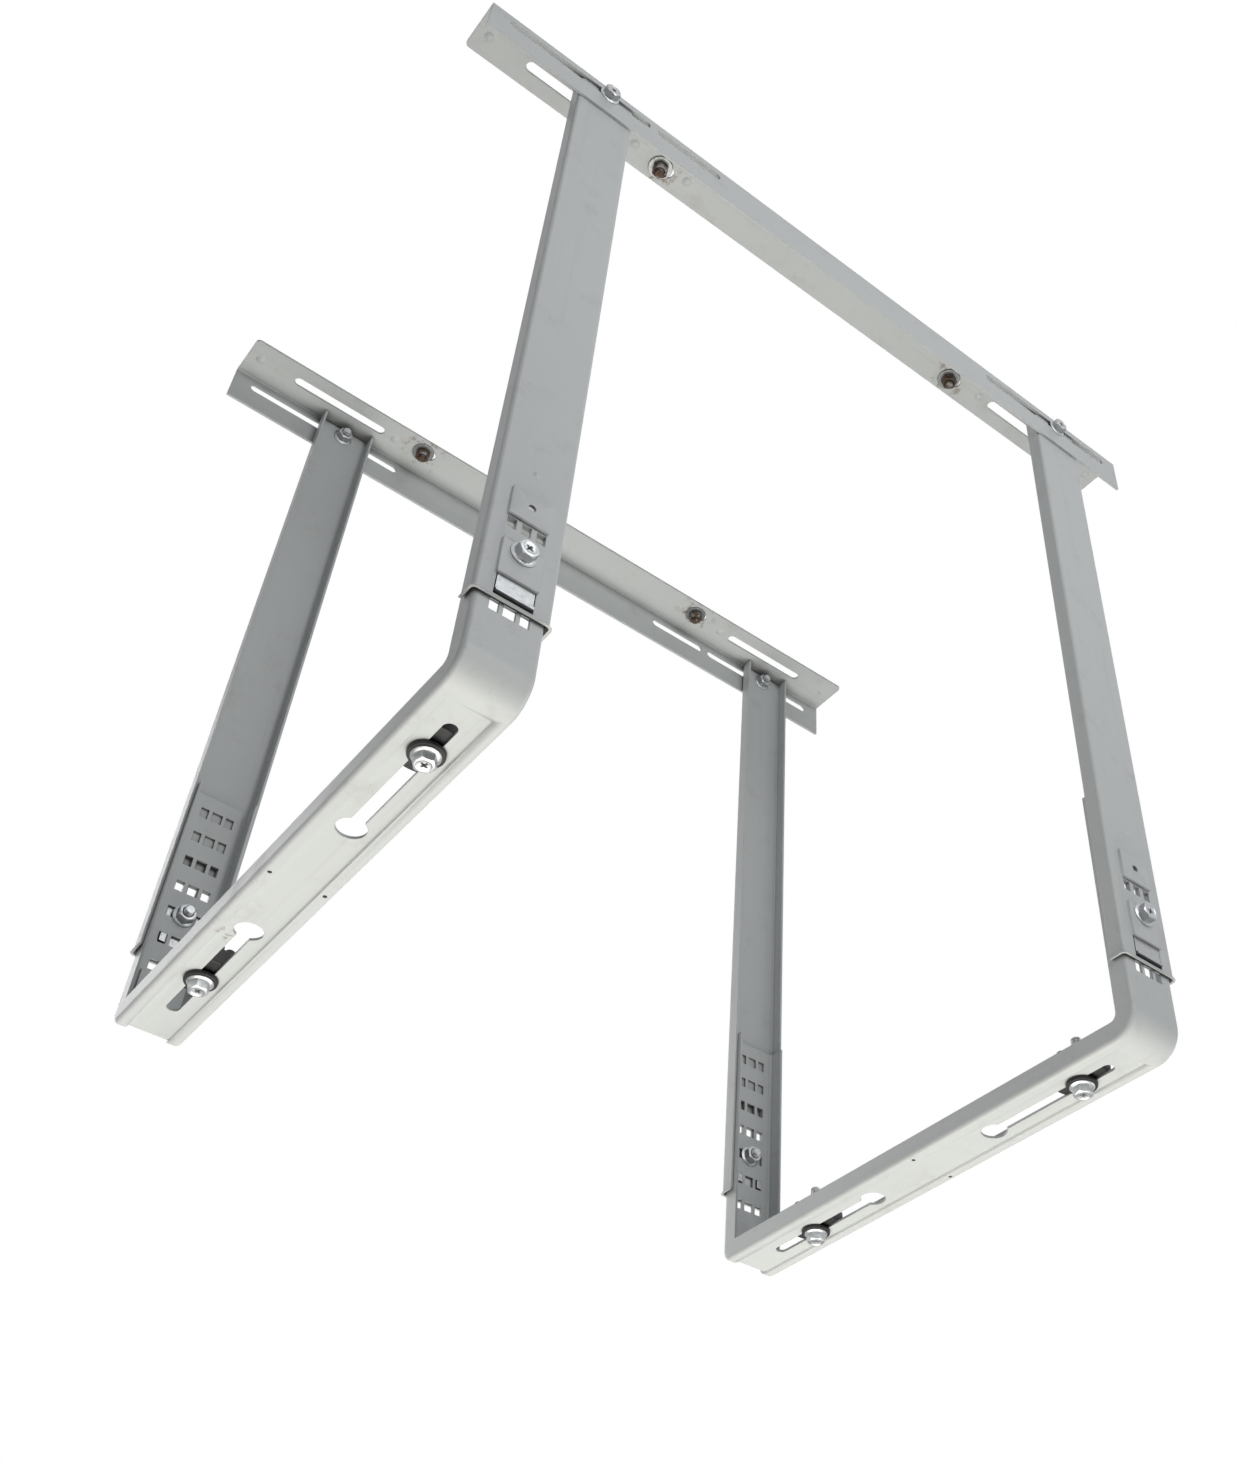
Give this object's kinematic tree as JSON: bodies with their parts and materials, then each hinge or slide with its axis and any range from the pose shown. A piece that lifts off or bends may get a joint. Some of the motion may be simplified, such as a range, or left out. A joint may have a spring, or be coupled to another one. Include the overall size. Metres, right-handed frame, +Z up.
{
  "type": "air conditioner outdoor unit bracket",
  "caption": "Ceiling hanging bracket for an air conditioner outdoor unit, with height adjustable U-shaped arms and rubber pads.",
  "frame": {"origin": "in the ceiling plane, at the middle of the four ceiling holes", "axes": "+Z up, out of the rails' ceiling faces; +X along the rails to the right hanger seen from the front; +Y from the front to the rear"},
  "size_m": [0.744, 0.485, 0.7275],
  "materials": {
    "paint": "satin",
    "zinc": "satin",
    "rubber": "matte"
  },
  "bodies": {
    "root": {"front_rail": "paint", "rear_rail": "paint", "left_front_leg": "paint", "right_front_leg": "paint", "left_rear_leg": "paint", "right_rear_leg": "paint", "left_arm": "paint", "right_arm": "paint", "left_front_lock_plate": "zinc", "right_front_lock_plate": "zinc", "left_rear_lock_plate": "zinc", "right_rear_lock_plate": "zinc", "left_front_height_bolt": "zinc", "right_front_height_bolt": "zinc", "left_rear_height_bolt": "zinc", "right_rear_height_bolt": "zinc", "left_front_height_nut": "zinc", "right_front_height_nut": "zinc", "left_rear_height_nut": "zinc", "right_rear_height_nut": "zinc", "left_front_rail_bolt": "zinc", "right_front_rail_bolt": "zinc", "left_rear_rail_bolt": "zinc", "right_rear_rail_bolt": "zinc", "left_front_rail_nut": "zinc", "right_front_rail_nut": "zinc", "left_rear_rail_nut": "zinc", "right_rear_rail_nut": "zinc", "left_front_pad": "rubber", "right_front_pad": "rubber", "left_rear_pad": "rubber", "right_rear_pad": "rubber", "left_front_foot_bolt": "zinc", "right_front_foot_bolt": "zinc", "left_rear_foot_bolt": "zinc", "right_rear_foot_bolt": "zinc", "left_front_foot_washer": "rubber", "right_front_foot_washer": "rubber", "left_rear_foot_washer": "rubber", "right_rear_foot_washer": "rubber", "left_front_foot_nut": "zinc", "right_front_foot_nut": "zinc", "left_rear_foot_nut": "zinc", "right_rear_foot_nut": "zinc"}
  },
  "joints": []
}
